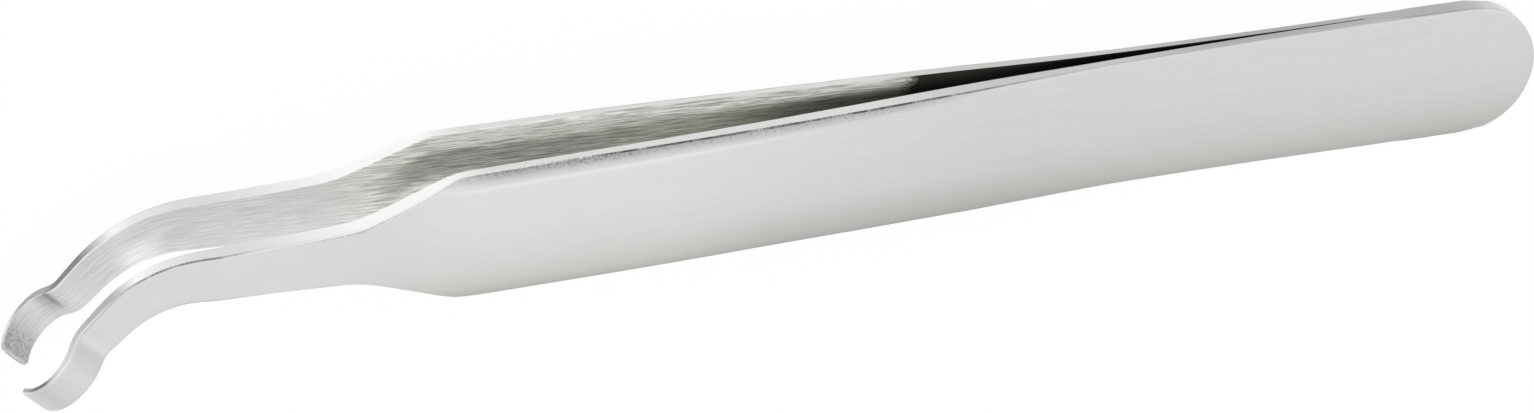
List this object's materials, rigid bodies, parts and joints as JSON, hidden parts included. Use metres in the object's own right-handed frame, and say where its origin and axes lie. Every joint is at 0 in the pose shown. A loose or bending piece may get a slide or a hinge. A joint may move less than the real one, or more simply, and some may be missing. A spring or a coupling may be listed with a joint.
{
  "type": "smd tweezers",
  "caption": "Self-opening stainless tweezers: two welded leaves with narrow necks bent sideways and round claw jaws that hold cylindrical surface-mount components.",
  "frame": {"origin": "centre of the rounded tail on the lower leaf's outer flat", "axes": "+X along the blade towards the tips, +Y the way the necks turn sideways, +Z from the lower leaf to the upper one"},
  "size_m": [0.1151, 0.0144, 0.0103],
  "materials": {
    "ground_leaf": "satin, ground along the length",
    "formed_jaw": "satin, ground before forming",
    "weld_seam": "ground flush"
  },
  "bodies": {
    "tail": {"upper_tail": "ground_leaf", "lower_tail": "ground_leaf", "tail_weld": "weld_seam"},
    "upper_arm": {"upper_grip": "ground_leaf", "upper_neck": "ground_leaf", "upper_jaw": "formed_jaw"},
    "lower_arm": {"lower_grip": "ground_leaf", "lower_neck": "ground_leaf", "lower_jaw": "formed_jaw"}
  },
  "joints": [
    {"name": "upper_flex", "type": "hinge", "parent": "tail", "child": "upper_arm", "pos_m": [0.01885, 0, 0.00086], "axis": [0, 1, 0], "range_deg": [0, 1.74], "stiffness_Nm_per_rad": 2.8},
    {"name": "lower_flex", "type": "hinge", "parent": "tail", "child": "lower_arm", "pos_m": [0.01885, 0, 0.00064], "axis": [0, -1, 0], "range_deg": [0, 1.74], "stiffness_Nm_per_rad": 2.8}
  ]
}
